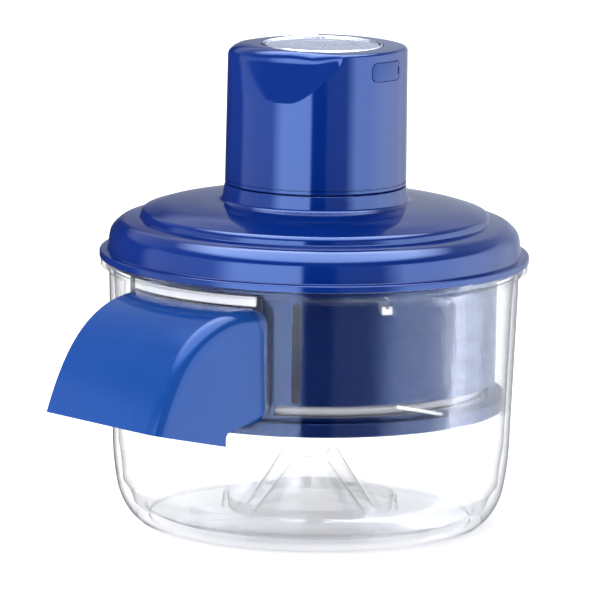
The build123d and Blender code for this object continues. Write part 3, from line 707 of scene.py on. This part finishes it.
def make_cover():
    place = radial_frame(34.0, PORT_ANGLE, PORT_HEIGHT)
    cover = prism("usb_cover_body", box_outline(16.5, 7.0, 2.4), -4.0, 4.0, place)
    shell = lathe("shell", soften([(33.45, 168), (34.45, 168), (34.45, 184.1), (33.45, 184.1)]), 360)
    combine(cover, [shell], "INTERSECT")
    tools = [prism("nail", box_outline(0.9, 3.2, 0.4, (7.0, 0)), -2.0, 4.0, place)]
    combine(cover, tools)
    bevelled(cover, 0.15, 2)
    plug = prism("plug", box_outline(7.6, 2.1, 0.9), -1.9, -0.2, place)
    combine(cover, [plug], "UNION")
    stand_for(cover, "port_cover", "blue_rubber", "usb_cover")


# ---------------------------------------------------------------- build
make_bowl()
make_hood()
make_drum()
make_tray()
make_lid()
make_head()
make_button()
make_cover()

slot_of = {row["node"]: row["material_slot"] for row in frame["record"]["subparts"]}
for node_name, node in nodes.items():
    dress(node, slot_of[node_name])


# ---------------------------------------------------------------- stage, light and camera
FLOOR_GLOW = 0.42
STUDIO_STRENGTH = 9.0
CEILING_GAIN = 1.6
COOL_TINT = (0.9, 0.98, 1.14)


def area_light(name, azimuth, elevation, distance, size, energy):
    """A soft panel that faces the object. Its azimuth counts from the camera's, negative to the left."""
    data = bpy.data.lights.new(name, "AREA")
    data.shape = "RECTANGLE"
    data.size, data.size_y = size
    data.energy = energy
    obj = bpy.data.objects.new(name, data)
    a = math.radians(VIEW_AZIMUTH + azimuth)
    e = math.radians(elevation)
    out = Vector((math.sin(a) * math.cos(e), -math.cos(a) * math.cos(e), math.sin(e)))
    obj.location = Vector((0, 0, 0.09)) + out * distance
    obj.rotation_euler = out.to_track_quat("Z", "Y").to_euler()
    obj.visible_glossy = False
    bpy.context.scene.collection.objects.link(obj)


def make_floor():
    bm = bmesh.new()
    bmesh.ops.create_grid(bm, x_segments=8, y_segments=8, size=12.0)
    for v in bm.verts:
        v.co.z = -0.0004
    floor = from_bmesh("floor", bm)
    made = material("floor_white", (0.92, 0.92, 0.92), 0.9)
    shader = made.node_tree.nodes["Principled BSDF"]
    shader.inputs["Specular IOR Level"].default_value = 0.0
    shader.inputs["Emission Color"].default_value = (1.0, 1.0, 1.0, 1.0)
    shader.inputs["Emission Strength"].default_value = FLOOR_GLOW
    floor.data.materials.append(made)
    floor.visible_glossy = False


def make_world():
    """White for the background, for what is seen through the bowl and for the soft fill. Reflections see a
    studio: a tall panel on the left, a wide one on the right, a dark gap between them, a bright ceiling and
    a dark rear wall. Azimuths are in degrees from the camera's, and heights in degrees above the floor."""
    world = bpy.data.worlds.new("studio")
    bpy.context.scene.world = world
    world.use_nodes = True
    tree = world.node_tree
    plain = tree.nodes["Background"]
    plain.inputs["Color"].default_value = (1, 1, 1, 1)
    plain.inputs["Strength"].default_value = 1.0
    where = tree.nodes.new("ShaderNodeTexCoord").outputs["Generated"]
    a = math.radians(VIEW_AZIMUTH)
    parts = []
    for axis in ((math.cos(a), math.sin(a), 0.0), (math.sin(a), -math.cos(a), 0.0), (0.0, 0.0, 1.0)):
        dot = tree.nodes.new("ShaderNodeVectorMath")
        dot.operation = "DOT_PRODUCT"
        dot.inputs[1].default_value = axis
        tree.links.new(where, dot.inputs[0])
        parts.append(dot.outputs["Value"])
    side, front, height = parts
    turn = math_node(tree, "ARCTAN2", side, front)
    turn = math_node(tree, "MULTIPLY_ADD", turn, 1 / (2 * math.pi), 0.5)
    rise = math_node(tree, "ARCSINE", height)
    rise = math_node(tree, "MULTIPLY_ADD", rise, 1 / math.pi, 0.5)
    rear_left = [(-180, 0.05), (-168, 0.005), (-150, 0.005), (-112, 0.02), (-104, 0.16), (-58, 0.24)]
    left_panel = [(-44, 0.95), (-7.5, 0.95)]
    dark_gap = [(-6.0, 0.0), (12.0, 0.0), (13.0, 0.08), (38, 0.10)]
    right_panel = [(52, 0.76), (90, 0.62), (120, 0.28), (150, 0.09), (180, 0.06)]
    above_walls = [(-180, 0.09), (-100, 0.06), (-60, 0.03), (60, 0.03), (100, 0.07), (180, 0.09)]

    def by_angle(stops, full_turn, source):
        return ramp_node(tree, [(x / full_turn + 0.5, level) for x, level in stops], source)

    walls = by_angle(rear_left + left_panel + dark_gap + right_panel, 360, turn)
    upper = by_angle(above_walls, 360, turn)
    in_wall = by_angle([(19, 1.0), (26, 0.0)], 180, rise)
    in_ceiling = by_angle([(46, 0.0), (60, 0.75)], 180, rise)
    ceiling = math_node(tree, "MULTIPLY", in_ceiling, CEILING_GAIN)
    lower_part = math_node(tree, "MULTIPLY", walls, in_wall)
    upper_part = math_node(tree, "MULTIPLY", upper, math_node(tree, "SUBTRACT", 1.0, in_wall))
    level = math_node(tree, "ADD", lower_part, math_node(tree, "ADD", upper_part, ceiling))
    cool = tree.nodes.new("ShaderNodeCombineColor")
    for channel, share in zip(("Red", "Green", "Blue"), COOL_TINT):
        tree.links.new(math_node(tree, "MULTIPLY", level, share), cool.inputs[channel])
    studio = tree.nodes.new("ShaderNodeBackground")
    tree.links.new(cool.outputs["Color"], studio.inputs["Color"])
    studio.inputs["Strength"].default_value = STUDIO_STRENGTH
    path = tree.nodes.new("ShaderNodeLightPath")
    not_clear = math_node(tree, "SUBTRACT", 1.0, path.outputs["Is Transmission Ray"])
    choose = tree.nodes.new("ShaderNodeMixShader")
    reflected = math_node(tree, "MULTIPLY", path.outputs["Is Glossy Ray"], not_clear)
    tree.links.new(reflected, choose.inputs["Fac"])
    tree.links.new(plain.outputs["Background"], choose.inputs[1])
    tree.links.new(studio.outputs["Background"], choose.inputs[2])
    tree.links.new(choose.outputs["Shader"], tree.nodes["World Output"].inputs["Surface"])


def make_camera():
    data = bpy.data.cameras.new("camera")
    data.lens = LENS
    data.sensor_width = 36.0
    data.clip_end = 60.0
    camera = bpy.data.objects.new("camera", data)
    a, e = math.radians(VIEW_AZIMUTH), math.radians(VIEW_ELEVATION)
    out = Vector((math.sin(a) * math.cos(e), -math.cos(a) * math.cos(e), math.sin(e)))
    camera.location = Vector(AIM) * MM + out * VIEW_DISTANCE
    facing = out.to_track_quat("Z", "Y").to_matrix().to_4x4()
    camera.rotation_euler = (facing @ Matrix.Rotation(math.radians(VIEW_ROLL), 4, "Z")).to_euler()
    bpy.context.scene.collection.objects.link(camera)
    bpy.context.scene.camera = camera


make_floor()
make_world()
make_camera()
area_light("key", -60, 35, 1.4, (0.9, 0.9), 16)
area_light("fill", 60, 30, 1.6, (1.0, 1.0), 3)
bpy.context.scene.view_settings.view_transform = "Standard"
